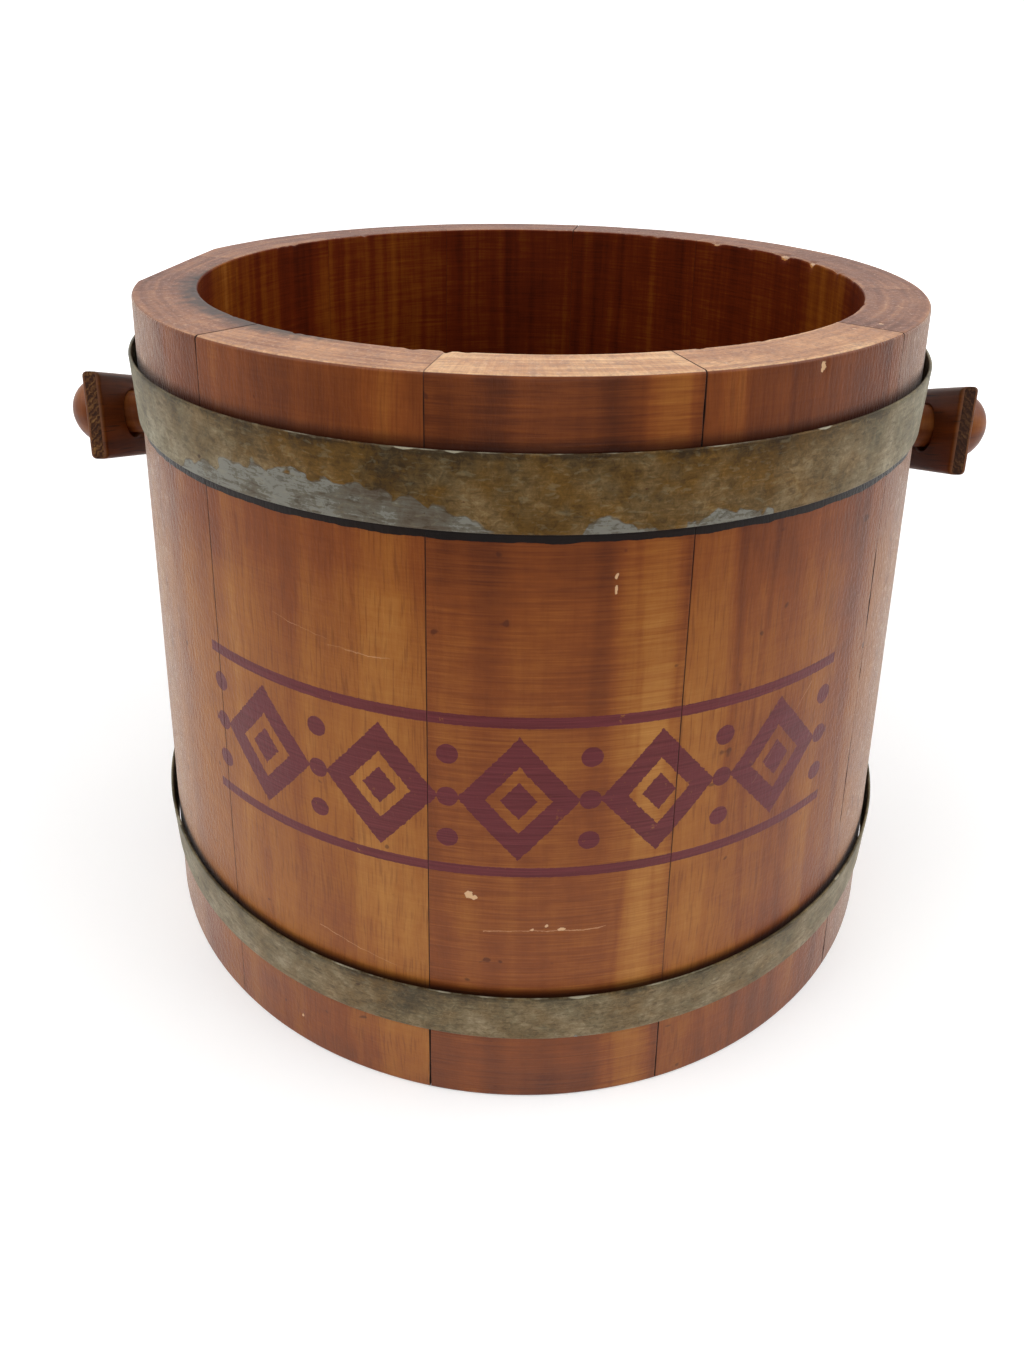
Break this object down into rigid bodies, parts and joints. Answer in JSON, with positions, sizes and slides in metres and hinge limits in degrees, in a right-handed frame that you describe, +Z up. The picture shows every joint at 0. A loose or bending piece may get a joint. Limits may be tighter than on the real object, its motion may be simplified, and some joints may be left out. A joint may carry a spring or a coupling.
{
  "type": "firkin",
  "caption": "Stave-built wooden bucket, wider at the base than at the rim, with two steel hoops and a bent wooden bail on side pegs.",
  "frame": {"origin": "on the bucket's axis, at the foot of the staves", "axes": "+Z up along the bucket's axis, -Y towards the front, X along the pegs, +X on the right seen from the front"},
  "size_m": [0.2778, 0.2582, 0.1932],
  "materials": {
    "stave_wood": "brown stained softwood under worn satin varnish, turned on the outside",
    "board_wood": "brown stained softwood boards, unpolished",
    "hoop_steel": "gold lacquered zinc-plated steel strip, lacquer worn through in patches",
    "rivet_steel": "dull zinc-plated steel",
    "peg_wood": "turned hardwood, brown stain, satin varnish",
    "bail_wood": "steam-bent hardwood strip, dark brown stain"
  },
  "bodies": {
    "bucket": {"stave_01": "stave_wood", "stave_02": "stave_wood", "stave_03": "stave_wood", "stave_04": "stave_wood", "stave_05": "stave_wood", "stave_06": "stave_wood", "stave_07": "stave_wood", "stave_08": "stave_wood", "stave_09": "stave_wood", "stave_10": "stave_wood", "stave_11": "stave_wood", "stave_12": "stave_wood", "bottom_board_left": "board_wood", "bottom_board_middle": "board_wood", "bottom_board_right": "board_wood", "upper_hoop": "hoop_steel", "lower_hoop": "hoop_steel", "upper_hoop_rivets": "rivet_steel", "lower_hoop_rivets": "rivet_steel", "left_peg": "peg_wood", "right_peg": "peg_wood"},
    "bail": {"handle": "bail_wood"}
  },
  "joints": [
    {"name": "bail_swing", "type": "hinge", "parent": "bucket", "child": "bail", "pos_m": [0, 0, 0.1521], "axis": [1, 0, 0], "range_deg": [0, 215.1]}
  ]
}
